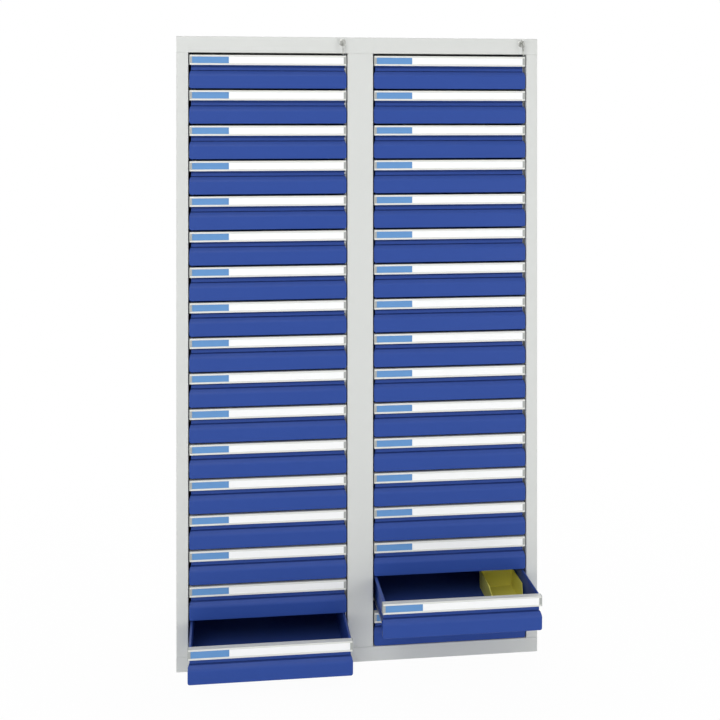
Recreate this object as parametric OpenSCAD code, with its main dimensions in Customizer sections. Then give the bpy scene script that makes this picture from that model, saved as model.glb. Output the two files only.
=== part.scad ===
// Steel drawer cabinet: two columns of shallow label-front drawers on roller runners,
// a cylinder lock with a locking bar for each column, and a loose open-front bin.
// Millimetres. The origin is on the floor under the middle; the front faces -Y and +Z is up.

/* [Cabinet] */
// Clear width of one column's opening
opening_w = 451; // [320:1:600]
// Height taken by one drawer
pitch = 100; // [98:1:140]
// Drawers in each column
rows = 17; // [4:1:20]
// Depth from the front face to the back
cab_d = 500; // [400:5:700]
// Width of each outer stile
stile_w = 33; // [20:1:60]
// Width of the centre post
post_w = 74; // [40:1:120]
// Height of the header above the openings
header_h = 46; // [44:1:80]
// Gap between the header and the top row
header_gap = 2; // [1:0.5:4]
// Height of the base rail below the openings
base_h = 42; // [30:1:120]
// Thickness of the cabinet sheet
sheet_t = 1.2; // [0.8:0.1:2]
// Depth of the header's folded return
return_w = 15; // [8:1:20]
// Width of the folds that the base stands on
foot_w = 30; // [20:1:60]

/* [Drawer] */
// Thickness of the drawer sheet
tray_t = 1; // [0.8:0.1:1.5]
// Gap at each side of a drawer front
side_gap = 3; // [1:0.5:4]
// Gap between a drawer front and the rail below it
row_gap = 5.5; // [2:0.5:8]
// Height of a front's lower edge above its row
front_lift = 1; // [0.5:0.5:2]
// Depth of the finger grip behind the front face
grip_d = 18; // [14:0.5:21]
// Height of the flat face above the front's lower edge
face_h = 39; // [30:1:51]
// Rise of the sloped grip above the flat face
slope_h = 13; // [6:1:15]
// Corner cut at each lower end of the front
corner_c = 5; // [1:0.5:8]
// How far the ends of the sloped grip are cut in
end_cut = 5; // [1:0.5:7]
// Height of the handle and label rail
rail_h = 28.5; // [26:0.5:32]
// Height of the lips above and below the label window
lip_h = 5; // [3:0.5:8]
// Depth of the label window
window_d = 2; // [1.6:0.1:4]
// Wall of the rail's section
rail_t = 1.5; // [1:0.1:2.2]
// Depth of the rail's lower lip behind the front face
rail_under_d = 6; // [4:0.5:10]
// Width of each rail end cap, seen from the front
cap_w = 8; // [6:1:20]
// Thickness of the end cap's outer plate
cap_t = 1.5; // [1:0.1:3]
// Thickness of the label strip
label_t = 1; // [0.6:0.1:1.2]
// Length of the coloured index field on the label strip
index_w = 103; // [60:1:160]
// Space from the opening's side to the inside of the tray
runner_space = 13; // [13:0.5:18]
// Width of the rolled edge on each tray side
hem_w = 6.5; // [4:0.5:7]
// Height of the rolled edge on each tray side
hem_h = 6; // [3:0.5:10]
// Height of the tray floor above the row's lower edge
floor_lift = 7; // [4:0.5:8]
// Space behind the tray of a closed drawer
rear_gap = 30; // [20:1:60]
// How far the open drawer in the left column is pulled out
open_left_d = 163; // [0:1:300]
// How far the open drawer in the right column is pulled out
open_right_d = 175; // [0:1:300]
// Row of the open drawer in the left column, from the top
open_row_left = 17; // [1:1:17]
// Row of the open drawer in the right column, from the top
open_row_right = 16; // [1:1:17]

/* [Runners] */
// Height of the cabinet's channel
channel_h = 20; // [18:0.5:21]
// Width of the cabinet's channel
channel_w = 9.5; // [8:0.1:9.8]
// Height of the channel above the row's lower edge
channel_lift = 6; // [4:0.5:7]
// Sheet of the runners
runner_t = 1.2; // [1:0.1:1.3]
// Radius of the front rollers
front_roller_r = 8; // [6:0.5:9]
// Width of the rollers
roller_w = 6; // [4:0.5:6]
// Radius of the roller axles
axle_r = 2.5; // [1.5:0.1:3]
// Width of the ledge that runs on the front roller
ledge_w = 5; // [3:0.5:5]

/* [Locks] */
// Distance of each lock below the top
lock_drop = 15; // [14:0.5:18]
// Distance of each lock from the right side of its opening
lock_in = 15; // [14:0.5:24]
// Radius of the lock's rim
rim_r = 10; // [9:0.5:12]
// Radius of the lock's body
lock_r = 8; // [7.5:0.1:8.5]
// Length of the lock's body behind the header's face
lock_len = 20; // [16:0.5:26]
// Radius of the turning plug
plug_r = 6; // [5:0.1:6.5]
// Radius of the cam's crank pin circle
crank_r = 6.5; // [5:0.1:6.5]
// Radius of the crank pin
pin_r = 2; // [1.5:0.1:2]
// Thickness of the locking bar
bar_t = 2; // [1.5:0.1:2]
// Width of the locking bar
bar_w = 12; // [8:0.5:16]
// Thickness of the bar's fingers
finger_t = 2; // [1.5:0.1:3]
// Thickness of the keys
key_t = 2.2; // [1.8:0.1:3]
// Radius of the key's bow
bow_r = 9; // [7:0.5:11]
// Radius of the spare key's bow
spare_bow_r = 7; // [6:0.5:8]
// Radius of the key ring, at the middle of its wire
ring_r = 5; // [4.5:0.1:6]
// Radius of the ring's wire
wire_r = 0.7; // [0.5:0.1:0.9]

/* [Open bin] */
// Width of the loose bin
bin_w = 101; // [80:1:160]
// Depth of the loose bin
bin_d = 155; // [100:1:220]
// Height of the loose bin
bin_h = 57; // [44:1:82]
// Wall of the loose bin
bin_t = 2.2; // [1.5:0.1:3]
// Height of the bin's low front
bin_lip_h = 22; // [12:1:36]
// Depth over which the bin's sides slope down to the front
bin_slope_d = 38; // [20:1:80]
// Distance of the bin behind the front of its drawer
bin_back = 107; // [5:1:200]

/* [Hidden] */
$fn = 48;

// --- clearances ---
cut_over = 1;        // how far a cut runs past the piece that it cuts
weld_gap = 0.1;      // keeps welded or glued pieces apart as separate solids
roller_gap = 0.3;    // between a roller and what runs on it
roller_play = 1.2;   // free height of the rear roller in its channel
bore_gap = 0.1;      // between a roller and its axle, all round
ledge_gap = 0.9;     // between the channel and the ledge above it
plug_gap = 0.05;     // running fit of the plug in its lock
key_gap = 0.1;       // between the key's blade and its slot
slot_gap = 0.5;      // between the crank pin and its slot
slide_gap = 1;       // between the locking bar and its guides
catch_gap = 2;       // between a finger and the catch behind it
cam_gap = 2;         // between the cam and the locking bar
finger_rise = 3;     // of an unlocked finger above its catch
ring_play = 0.3;     // between the ring's wire and the edge of a key's hole
rim_gap = 1;         // between the spare key's tip and the top rail

// --- cabinet ---
cab_w = 2*stile_w + 2*opening_w + post_w;
header_z = base_h + rows*pitch + header_gap;
cab_h = header_z + header_h;
front_y = -cab_d/2;
back_y = cab_d/2;
column_x = (post_w + opening_w)/2;

// --- drawer, from its column's middle, the front face and its row's lower edge ---
front_w = opening_w - 2*side_gap;
front_top = front_lift + pitch - row_gap;
rail_z = front_top - rail_h;
rail_depth = grip_d + tray_t;
face_top = front_lift + face_h;
slope_top = face_top + slope_h;
tray_y = grip_d + tray_t;
tray_d = cab_d - rear_gap;
tray_half_w = opening_w/2 - runner_space;
side_drop = 1;
side_top = front_top - side_drop;
label_w = front_w - 2*cap_w;

// --- locks ---
rim_t = 2;
plug_tail = 2;
cam_t = 2;
cam_rim = 1;
nut_rim = 4;
nut_h = 4;

// --- locking bar and catches, from the right side of the opening ---
bar_off = 1.5;
bar_foot = 20;
head_rim = 4;
bar_y = lock_len + plug_tail + cam_t + cam_gap;
finger_reach = 7.9;
finger_h = 6;
catch_z = 44;
catch_h = 8;
catch_t = 2;
catch_l = 16;
catch_off = 5;
finger_z = catch_z + catch_h + finger_rise;
bar_lift = 2*crank_r*sin(45);
guide_t = 1;
guide_h = 10;
guide_z = 66;
guide_rows = [for (part_way = [0, 1, 2]) 1 + round(part_way*(rows - 1)/2)];

// --- runners, from the side of the opening ---
roller_room = 2;
channel_y = bar_y + bar_w + 2*roller_room;
roller_y = channel_y + front_roller_r + roller_room;
flange_y = roller_y + front_roller_r + roller_room;
channel_over = 10;
channel_end = tray_d + channel_over;
roller_off = 3;
ledge_z = channel_lift + channel_h + ledge_gap;
angle_x = runner_space - tray_t - weld_gap - runner_t;
angle_y = tray_y + 2*roller_room;
angle_z = floor_lift + roller_room;
front_roller_z = ledge_z - roller_gap - front_roller_r;
rear_roller_r = (channel_h - 2*runner_t - roller_play)/2;
rear_roller_z = channel_lift + runner_t + roller_gap + rear_roller_r;
rear_roller_y = tray_d - rear_roller_r - 2*roller_room;
rivet_rim = 1.5;
rivet_t = 1;

// --- keys, from the lock's middle on the header's face ---
blade_h = 6;
blade_in = 14;
shank_l = 6;
bow_sink = 1;
ring_hole_r = 2.5;
ring_edge = 2.5;
spare_edge = 1.5;
bow_y = rim_t + shank_l + bow_r - bow_sink;
ring_y = bow_y + bow_r - ring_hole_r - ring_edge;
ring_hang = ring_hole_r - wire_r - ring_play;
ring_z = -ring_hang - ring_r;
spare_hole_z = ring_z - ring_r - ring_hang;
spare_bow_z = spare_hole_z - spare_bow_r + ring_hole_r + spare_edge;
spare_tip_z = lock_drop - cab_h + (base_h + (rows - 1)*pitch + front_top) + rim_gap;
spare_blade_h = 5;

// --- loose bin, from its drawer's middle ---
bin_rim = 1;
bin_rim_h = 3;
bin_side_gap = 1;
bin_x = tray_half_w - bin_side_gap - bin_rim - bin_w/2;
bin_y = tray_y + bin_back;

// --- colours ---
body_grey = [0.85, 0.86, 0.84];
ultramarine = [0.21, 0.31, 0.61];
rail_grey = [0.88, 0.89, 0.87];
cap_grey = [0.62, 0.64, 0.62];
paper_white = [0.97, 0.97, 0.96];
index_blue = [0.42, 0.62, 0.85];
zinc = [0.75, 0.77, 0.78];
nylon = [0.9, 0.9, 0.86];
steel = [0.7, 0.71, 0.72];
bin_yellow = [0.87, 0.83, 0.3];

function two_digits(n) = str(n < 10 ? "0" : "", n);
function drawer_name(side, row) = str("drawer_", side, "_", two_digits(row));
function row_z(row) = base_h + (rows - row)*pitch;
function lock_z() = cab_h - lock_drop;

DRAWERS = [for (side = ["left", "right"], row = [1:rows]) drawer_name(side, row)];
FIXED = ["side_panel_left", "side_panel_right", "centre_partition", "top_panel", "base_panel",
         "back_panel", "runners_left", "runners_right", "front_rollers", "roller_axles",
         "lock_housings", "lock_nuts", "bar_guides"];
LOCKS = ["lock_plug_left", "lock_plug_right", "key_left", "key_right",
         "key_ring_left", "key_ring_right", "spare_key_left", "spare_key_right",
         "lock_cam_left", "lock_cam_right", "locking_bar_left", "locking_bar_right"];

// A box between its lowest and highest corners
module block(low, high) translate(low) cube(high - low);

// A round bar along X
module round_x(r, from, to) translate([from, 0, 0]) rotate([0, 90, 0]) cylinder(r = r, h = to - from);

// A round bar along Y
module round_y(r, from, to) translate([0, from, 0]) rotate([-90, 0, 0]) cylinder(r = r, h = to - from);

// A section drawn in Y and Z, run along X about the middle
module along_x(length) {
    rotate([90, 0, 90])
        translate([0, 0, -length/2])
            linear_extrude(length)
                children();
}

// The middle of a column at its front face and a row's lower edge
module at_row(column, row, out = 0) {
    translate([column*column_x, front_y - out, row_z(row)])
        children();
}

// Sets a piece by its distance from one side of the opening: side is 1 for the right, -1 for the left
module from_side(side) {
    translate([side*opening_w/2, 0, 0])
        mirror([side > 0 ? 1 : 0, 0, 0])
            children();
}

// The middle of a column's lock on the header's face
module at_lock(column) {
    translate([column*column_x + opening_w/2 - lock_in, front_y, lock_z()])
        children();
}

// ---------------------------------------------------------------- cabinet

// Double-skinned side: an outer skin, the stile and an inner wall that carries the runners
module side_panel(side) {
    skin_x = cab_w/2 - sheet_t;
    wall_x = cab_w/2 - stile_w;
    color(body_grey)
        mirror([side > 0 ? 0 : 1, 0, 0])
            union() {
                block([skin_x, front_y + sheet_t, 0], [cab_w/2, back_y, cab_h - sheet_t]);
                block([wall_x, front_y, base_h], [cab_w/2, front_y + sheet_t, header_z]);
                block([wall_x, front_y + sheet_t, base_h],
                      [wall_x + sheet_t, back_y - sheet_t, cab_h - sheet_t]);
                block([cab_w/2 - foot_w, front_y + foot_w, 0], [skin_x, back_y - foot_w, sheet_t]);
            }
}

// Hollow partition whose front fold is the centre post
module centre_partition() {
    color(body_grey)
        union() {
            block([-post_w/2, front_y, base_h], [post_w/2, front_y + sheet_t, header_z]);
            for (x = [-post_w/2, post_w/2 - sheet_t])
                block([x, front_y + sheet_t, base_h], [x + sheet_t, back_y - sheet_t, cab_h - sheet_t]);
        }
}

// Top sheet folded down in front as the header, with a return over each opening
module top_panel() {
    color(body_grey)
        difference() {
            union() {
                block([-cab_w/2, front_y, cab_h - sheet_t], [cab_w/2, back_y, cab_h]);
                block([-cab_w/2, front_y, header_z], [cab_w/2, front_y + sheet_t, cab_h - sheet_t]);
                for (column = [-1, 1])
                    block([column*column_x - opening_w/2, front_y + sheet_t, header_z],
                          [column*column_x + opening_w/2, front_y + return_w, header_z + sheet_t]);
            }
            for (column = [-1, 1])
                at_lock(column)
                    round_y(lock_r + plug_gap, -cut_over, sheet_t + cut_over);
        }
}

// Floor sheet folded down to the base rail and the rear rail, with a hollow rail under the partition
module base_panel() {
    inner_w = cab_w/2 - sheet_t;
    color(body_grey)
        union() {
            block([-cab_w/2, front_y, 0], [cab_w/2, front_y + sheet_t, base_h]);
            block([-inner_w, front_y + sheet_t, base_h - sheet_t], [inner_w, back_y, base_h]);
            block([-inner_w, back_y - sheet_t, 0], [inner_w, back_y, base_h - sheet_t]);
            block([-inner_w, front_y + sheet_t, 0], [inner_w, front_y + foot_w, sheet_t]);
            block([-inner_w, back_y - foot_w, 0], [inner_w, back_y - sheet_t, sheet_t]);
            block([-post_w/2, front_y + foot_w, 0], [post_w/2, back_y - foot_w, sheet_t]);
            for (x = [-post_w/2, post_w/2 - sheet_t])
                block([x, front_y + sheet_t, sheet_t], [x + sheet_t, back_y - sheet_t, base_h - sheet_t]);
        }
}

module back_panel() {
    inner_w = cab_w/2 - sheet_t;
    color(body_grey)
        block([-inner_w, back_y - sheet_t, base_h], [inner_w, back_y, cab_h - sheet_t]);
}

// ---------------------------------------------------------------- runners

// Channel on the side of the opening; its front end is bare web that carries the front roller
module cabinet_channel() {
    top = channel_lift + channel_h;
    difference() {
        block([0, channel_y, channel_lift], [channel_w, channel_end, top]);
        block([runner_t, channel_y - cut_over, channel_lift + runner_t],
              [channel_w + cut_over, channel_end + cut_over, top - runner_t]);
        block([runner_t, channel_y - cut_over, channel_lift - cut_over],
              [channel_w + cut_over, flange_y, top + cut_over]);
    }
}

module runners(column) {
    color(zinc)
        for (row = [1:rows], side = [-1, 1])
            at_row(column, row)
                from_side(side)
                    cabinet_channel();
}

module roller(r) {
    difference() {
        round_x(r, roller_off, roller_off + roller_w);
        round_x(axle_r + bore_gap, roller_off - cut_over, roller_off + roller_w + cut_over);
    }
}

module front_rollers() {
    color(nylon)
        for (column = [-1, 1], row = [1:rows], side = [-1, 1])
            at_row(column, row)
                from_side(side)
                    translate([0, roller_y, front_roller_z])
                        roller(front_roller_r);
}

// Rivets on the channels' webs
module roller_axles() {
    head_x = roller_off + roller_w + 2*bore_gap;
    color(steel)
        for (column = [-1, 1], row = [1:rows], side = [-1, 1])
            at_row(column, row)
                from_side(side)
                    translate([0, roller_y, front_roller_z]) {
                        round_x(axle_r, runner_t, head_x);
                        round_x(axle_r + rivet_rim, head_x, head_x + rivet_t);
                    }
}

// ---------------------------------------------------------------- drawer

// Welded tray: floor, back, inner front and two sides with a rolled edge
module tray() {
    floor_z = floor_lift;
    low = floor_z + tray_t + weld_gap;
    color(ultramarine) {
        block([-tray_half_w, tray_y + weld_gap, floor_z],
              [tray_half_w, tray_d - tray_t - weld_gap, floor_z + tray_t]);
        block([-tray_half_w, tray_d - tray_t, floor_z], [tray_half_w, tray_d, side_top - hem_h]);
        intersection() {
            block([-front_w/2, grip_d, front_lift], [front_w/2, tray_y, front_top - rail_t - weld_gap]);
            front_outline();
        }
        for (side = [-1, 1])
            from_side(side)
                tray_side(low);
    }
}

module tray_side(low) {
    union() {
        block([runner_space - tray_t, tray_y + weld_gap, floor_lift],
              [runner_space - weld_gap, tray_d, side_top]);
        block([runner_space - hem_w, tray_y + weld_gap, side_top - hem_h],
              [runner_space - weld_gap, tray_d, side_top]);
    }
}

// Folded front: a flat face, and a sloped grip that leads back under the rail
module front_skin() {
    rise = slope_h/grip_d;
    drop = tray_t*sqrt(1 + rise*rise);
    behind = grip_d - weld_gap;
    color(ultramarine)
        intersection() {
            difference() {
                along_x(front_w)
                    polygon([[0, front_lift], [0, face_top], [behind, face_top + rise*behind],
                             [behind, front_lift]]);
                along_x(front_w - 2*tray_t)
                    polygon([[tray_t, front_lift + tray_t], [tray_t, face_top + rise*tray_t - drop],
                             [grip_d, face_top + rise*grip_d - drop], [grip_d, front_lift + tray_t]]);
            }
            front_outline();
        }
}

// The front seen from ahead: its lower corners are cut, and its ends narrow above the flat face
module front_outline() {
    half = front_w/2;
    translate([0, tray_y + cut_over, 0])
        rotate([90, 0, 0])
            linear_extrude(tray_y + 2*cut_over)
                polygon([[-half + end_cut, front_top], [-half + end_cut, slope_top],
                         [-half, face_top], [-half, front_lift + corner_c],
                         [-half + corner_c, front_lift], [half - corner_c, front_lift],
                         [half, front_lift + corner_c], [half, face_top],
                         [half - end_cut, slope_top], [half - end_cut, front_top]]);
}

// Handle and label rail: an extrusion with a window between two lips, and a cover
// from its top edge back over the tray's front
module label_rail() {
    low_lip = rail_z + lip_h;
    high_lip = front_top - lip_h;
    web = window_d + rail_t;
    length = front_w - 2*(cap_t + weld_gap);
    color(rail_grey) {
        along_x(length)
            polygon([[0, rail_z], [0, low_lip], [window_d, low_lip], [window_d, high_lip],
                     [0, high_lip], [0, front_top], [web, front_top],
                     [web, rail_z + rail_t], [rail_under_d, rail_z + rail_t], [rail_under_d, rail_z]]);
        block([-length/2, web + weld_gap, front_top - rail_t], [length/2, rail_depth, front_top]);
    }
}

// Printed strip in the window: a coloured index field and a white field
module label_strip() {
    low = [-label_w/2, window_d - weld_gap - label_t, rail_z + lip_h + weld_gap];
    high = [label_w/2, window_d - weld_gap, front_top - lip_h - weld_gap];
    split = -label_w/2 + index_w;
    color(index_blue)
        block(low, [split - weld_gap, high[1], high[2]]);
    color(paper_white)
        block([split, low[1], low[2]], high);
}

// End cap: a plate over the end of the rail with a block that fills the end of its window
module end_cap(side) {
    fill = cap_w - weld_gap;
    color(cap_grey)
        translate([side*front_w/2, 0, 0])
            mirror([side > 0 ? 1 : 0, 0, 0])
                union() {
                    block([0, 0, rail_z], [cap_t, grip_d - weld_gap, front_top]);
                    block([0, 0, rail_z + lip_h + weld_gap],
                          [fill, window_d - weld_gap, front_top - lip_h - weld_gap]);
                }
}

// Angle on the tray's side; its ledge runs on the front roller
module drawer_angle() {
    color(zinc)
        union() {
            block([angle_x, angle_y, angle_z], [angle_x + runner_t, tray_d, ledge_z + runner_t]);
            block([angle_x - ledge_w, angle_y, ledge_z], [angle_x + runner_t, tray_d, ledge_z + runner_t]);
        }
}

module rear_roller() {
    translate([0, rear_roller_y, rear_roller_z]) {
        color(nylon)
            roller(rear_roller_r);
        color(steel)
            round_x(axle_r, roller_off - 2*bore_gap, angle_x - weld_gap);
    }
}

// Catch that a lowered finger of the locking bar stops
module lock_catch() {
    catch_y = bar_y + finger_t + catch_gap;
    plate_x = runner_space - tray_t - weld_gap - catch_t/2;
    color(zinc)
        union() {
            block([plate_x, catch_y, catch_z], [plate_x + catch_t/2, catch_y + catch_l, catch_z + catch_h]);
            block([catch_off, catch_y, catch_z], [plate_x, catch_y + catch_t, catch_z + catch_h]);
        }
}

module drawer() {
    tray();
    front_skin();
    label_rail();
    label_strip();
    for (side = [-1, 1]) {
        end_cap(side);
        from_side(side) {
            drawer_angle();
            rear_roller();
        }
    }
    from_side(1)
        lock_catch();
}

// ---------------------------------------------------------------- locks

module lock_housings() {
    color(steel)
        for (column = [-1, 1])
            at_lock(column)
                difference() {
                    union() {
                        round_y(rim_r, -rim_t, 0);
                        round_y(lock_r, 0, lock_len);
                    }
                    round_y(plug_r + plug_gap, -rim_t - cut_over, lock_len + cut_over);
                }
}

// Hexagonal nut behind the header
module lock_nuts() {
    color(steel)
        for (column = [-1, 1])
            at_lock(column)
                difference() {
                    translate([0, sheet_t, 0])
                        rotate([-90, 0, 0])
                            cylinder(r = lock_r + nut_rim, h = nut_h, $fn = 6);
                    round_y(lock_r + plug_gap, 0, sheet_t + nut_h + cut_over);
                }
}

module lock_plug(column) {
    color(steel)
        at_lock(column)
            difference() {
                round_y(plug_r, -rim_t, lock_len + plug_tail);
                block([-key_t/2 - key_gap, -rim_t - cut_over, -blade_h/2 - key_gap],
                      [key_t/2 + key_gap, blade_in + key_gap, blade_h/2 + key_gap]);
            }
}

// Key with its blade in the plug and a ring hole at the end of its bow
module key(column) {
    color(steel)
        at_lock(column)
            difference() {
                union() {
                    translate([0, -bow_y, 0])
                        round_x(bow_r, -key_t/2, key_t/2);
                    block([-key_t/2, -bow_y + bow_r - bow_sink, -blade_h/2],
                          [key_t/2, blade_in, blade_h/2]);
                }
                translate([0, -ring_y, 0])
                    round_x(ring_hole_r, -key_t, key_t);
            }
}

module key_ring(column) {
    color(steel)
        at_lock(column)
            translate([0, -ring_y, ring_z])
                rotate([90, 0, 0])
                    rotate_extrude()
                        translate([ring_r, 0])
                            circle(wire_r);
}

// Second key, hanging from the ring
module spare_key(column) {
    color(steel)
        at_lock(column)
            translate([0, -ring_y, 0])
                difference() {
                    union() {
                        translate([0, 0, spare_bow_z])
                            round_x(spare_bow_r, -key_t/2, key_t/2);
                        block([-key_t/2, -spare_blade_h/2, spare_tip_z],
                              [key_t/2, spare_blade_h/2, spare_bow_z - spare_bow_r + bow_sink]);
                    }
                    translate([0, 0, spare_hole_z])
                        round_x(ring_hole_r, -key_t, key_t);
                }
}

// Disc on the plug's tail with the crank pin that lifts the bar
module lock_cam(column) {
    disc_y = lock_len + plug_tail;
    color(zinc)
        at_lock(column)
            union() {
                round_y(crank_r + pin_r + cam_rim, disc_y, disc_y + cam_t);
                rotate([0, -45, 0])
                    translate([crank_r, 0, 0])
                        round_y(pin_r, disc_y, bar_y + finger_t + cam_rim);
            }
}

// Strip beside the drawers, a finger for each drawer, and a slotted head that the crank pin moves
module locking_bar(column) {
    foot_z = row_z(rows) + bar_foot;
    pin_z = lock_z() + bar_lift/2;
    slot_h = pin_r + slot_gap;
    head_low = pin_z - slot_h - head_rim;
    head_high = pin_z + slot_h + head_rim;
    tab_x = bar_off + bar_t + weld_gap;
    slot_end = lock_in - crank_r*cos(45) + slot_h;
    color(zinc)
        translate([column*column_x, front_y, 0])
            from_side(1) {
                block([bar_off, bar_y, foot_z], [bar_off + bar_t, bar_y + bar_w, head_high]);
                for (row = [1:rows])
                    block([tab_x, bar_y, row_z(row) + finger_z],
                          [finger_reach, bar_y + finger_t, row_z(row) + finger_z + finger_h]);
                difference() {
                    block([tab_x, bar_y, head_low],
                          [slot_end + head_rim, bar_y + finger_t, head_high]);
                    block([lock_in - crank_r - slot_h, bar_y - cut_over, pin_z - slot_h],
                          [slot_end, bar_y + finger_t + cut_over, pin_z + slot_h]);
                }
            }
}

// Brackets that hold each bar against the side of its opening
module bar_guides() {
    inner = bar_off + bar_t + slide_gap/2;
    color(zinc)
        for (column = [-1, 1], row = guide_rows)
            at_row(column, row)
                from_side(1)
                    translate([0, 0, guide_z])
                        difference() {
                            block([0, bar_y - slide_gap - guide_t, 0],
                                  [inner + guide_t, bar_y + bar_w + slide_gap + guide_t, guide_h]);
                            block([-cut_over, bar_y - slide_gap, -cut_over],
                                  [inner, bar_y + bar_w + slide_gap, guide_h + cut_over]);
                        }
}

// ---------------------------------------------------------------- loose bin

// Moulded bin with a low open front; it stands on the floor of the open right drawer
module open_bin() {
    color(bin_yellow)
        at_row(1, open_row_right, open_right_d)
            translate([bin_x, bin_y, floor_lift + tray_t])
                difference() {
                    union() {
                        along_x(bin_w)
                            bin_section(0, 0);
                        along_x(bin_w + 2*bin_rim)
                            polygon([[bin_slope_d, bin_h - bin_rim_h], [bin_slope_d, bin_h],
                                     [bin_d, bin_h], [bin_d, bin_h - bin_rim_h]]);
                    }
                    along_x(bin_w - 2*bin_t)
                        bin_section(bin_t, cut_over);
                }
}

// Side view of the bin, drawn in by a wall and raised past its rim by over
module bin_section(wall, over) {
    rise = (bin_h - bin_lip_h)/bin_slope_d;
    polygon([[wall, wall], [wall, bin_lip_h + rise*wall + over], [bin_slope_d, bin_h + over],
             [bin_d - wall, bin_h + over], [bin_d - wall, wall]]);
}

// ---------------------------------------------------------------- nodes

side_panel(-1);  // side_panel_left
side_panel(1);  // side_panel_right
centre_partition();
top_panel();
base_panel();
back_panel();
runners(-1);  // runners_left
runners(1);  // runners_right
front_rollers();
roller_axles();
lock_housings();
lock_nuts();
bar_guides();
lock_plug(-1);  // lock_plug_left
lock_plug(1);  // lock_plug_right
key(-1);  // key_left
key(1);  // key_right
key_ring(-1);  // key_ring_left
key_ring(1);  // key_ring_right
spare_key(-1);  // spare_key_left
spare_key(1);  // spare_key_right
lock_cam(-1);  // lock_cam_left
lock_cam(1);  // lock_cam_right
locking_bar(-1);  // locking_bar_left
locking_bar(1);  // locking_bar_right
for (row = [1:rows]) {
    at_row(-1, row, row == open_row_left ? open_left_d : 0) drawer();
    at_row(1, row, row == open_row_right ? open_right_d : 0) drawer();
}
open_bin();
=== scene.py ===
# %% [markdown]
# # A tall cabinet of label-front drawers
# This lesson dresses a sheet-steel cabinet: two banks of seventeen shallow drawers, a lock for
# each bank and a loose yellow bin. The construction arrives as a finished frame of solids. Here
# each visible piece is modelled again with its bends, rounded edges and finish, in the frame's own
# place. Everything is in metres; the front faces -Y and the floor is at zero.

# %% Load the frame
import math

import bmesh
import bpy
from mathutils import Matrix, Vector


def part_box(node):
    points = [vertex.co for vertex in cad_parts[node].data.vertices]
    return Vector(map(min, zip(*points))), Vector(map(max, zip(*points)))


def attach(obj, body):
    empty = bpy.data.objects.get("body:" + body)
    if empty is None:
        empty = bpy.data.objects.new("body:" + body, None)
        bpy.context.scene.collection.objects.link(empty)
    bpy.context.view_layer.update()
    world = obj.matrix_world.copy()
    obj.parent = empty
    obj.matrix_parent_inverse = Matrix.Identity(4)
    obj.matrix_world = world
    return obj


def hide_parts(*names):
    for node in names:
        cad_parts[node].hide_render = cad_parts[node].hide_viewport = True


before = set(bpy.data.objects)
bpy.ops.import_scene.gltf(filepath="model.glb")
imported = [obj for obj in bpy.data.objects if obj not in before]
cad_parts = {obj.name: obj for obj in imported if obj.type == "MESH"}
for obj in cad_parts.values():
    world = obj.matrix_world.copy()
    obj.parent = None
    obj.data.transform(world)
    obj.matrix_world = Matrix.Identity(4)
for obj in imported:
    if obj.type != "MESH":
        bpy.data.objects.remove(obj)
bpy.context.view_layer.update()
MM = 0.001

# %% [markdown]
# ## Camera
# The upright edges of a tall cabinet should look upright. So the camera looks level, turned a
# little to the right, and a lens shift brings the whole cabinet into the picture. A tilt would
# also frame it, but then the sides would lean towards each other.

# %% The camera
CAMERA_PLACE = (-0.394, -3.462, 1.564)
CAMERA_TURN = math.radians(-6.975)
CAMERA_LENS, CAMERA_SHIFT = 56.45, -0.3385
bpy.ops.object.camera_add(location=CAMERA_PLACE, rotation=(math.pi / 2, 0, CAMERA_TURN))
camera = bpy.context.object
camera.data.lens = CAMERA_LENS
camera.data.shift_y = CAMERA_SHIFT
bpy.context.scene.camera = camera
bpy.context.scene.view_settings.view_transform = "Standard"
print("camera:", round(camera.data.lens, 1), "mm lens")

# %% [markdown]
# ## Floor, sky and lamps
# The background is plain white. Brighter lamps would burn out the pale paint, so the white comes
# from what the camera ray sees: a Light Path node gives the sky full white for camera, mirror and
# glass rays, and a duller studio level for the light that falls on the cabinet. The floor mixes the
# same white over a plain diffuse surface. Near the cabinet the white gives way a little, so that a
# soft shadow stays under the base. Four large soft lamps do the lighting: one high and two low in
# front, and one behind.

# %% Node helpers
def add(tree, kind, inputs=(), **settings):
    """A shader node with its settings made, and its sockets set or linked to what is given."""
    node = tree.nodes.new("ShaderNode" + kind)
    for name, value in settings.items():
        setattr(node, name, value)
    for name, value in dict(inputs).items():
        if isinstance(value, bpy.types.NodeSocket):
            tree.links.new(value, node.inputs[name])
        else:
            node.inputs[name].default_value = value
    return node


def maths(tree, operation, *values):
    """The result of a Math node."""
    return add(tree, "Math", dict(enumerate(values)), operation=operation).outputs[0]


def seen_directly(tree):
    """One for the rays that show the background: straight, mirrored or through glass."""
    path = add(tree, "LightPath").outputs
    seen = maths(tree, "MAXIMUM", path["Is Camera Ray"], path["Is Glossy Ray"])
    return maths(tree, "MAXIMUM", seen, path["Is Transmission Ray"])


# %% Sky
STUDIO_LEVEL = 0.4
world = bpy.data.worlds.new("studio")
bpy.context.scene.world = world
world.use_nodes = True
sky = world.node_tree.nodes["Background"]
sky.inputs["Color"].default_value = (1, 1, 1, 1)
spare_light = maths(world.node_tree, "MULTIPLY", seen_directly(world.node_tree), 1 - STUDIO_LEVEL)
level = maths(world.node_tree, "ADD", spare_light, STUDIO_LEVEL)
world.node_tree.links.new(level, sky.inputs["Strength"])
print("sky: studio level", STUDIO_LEVEL)

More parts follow.
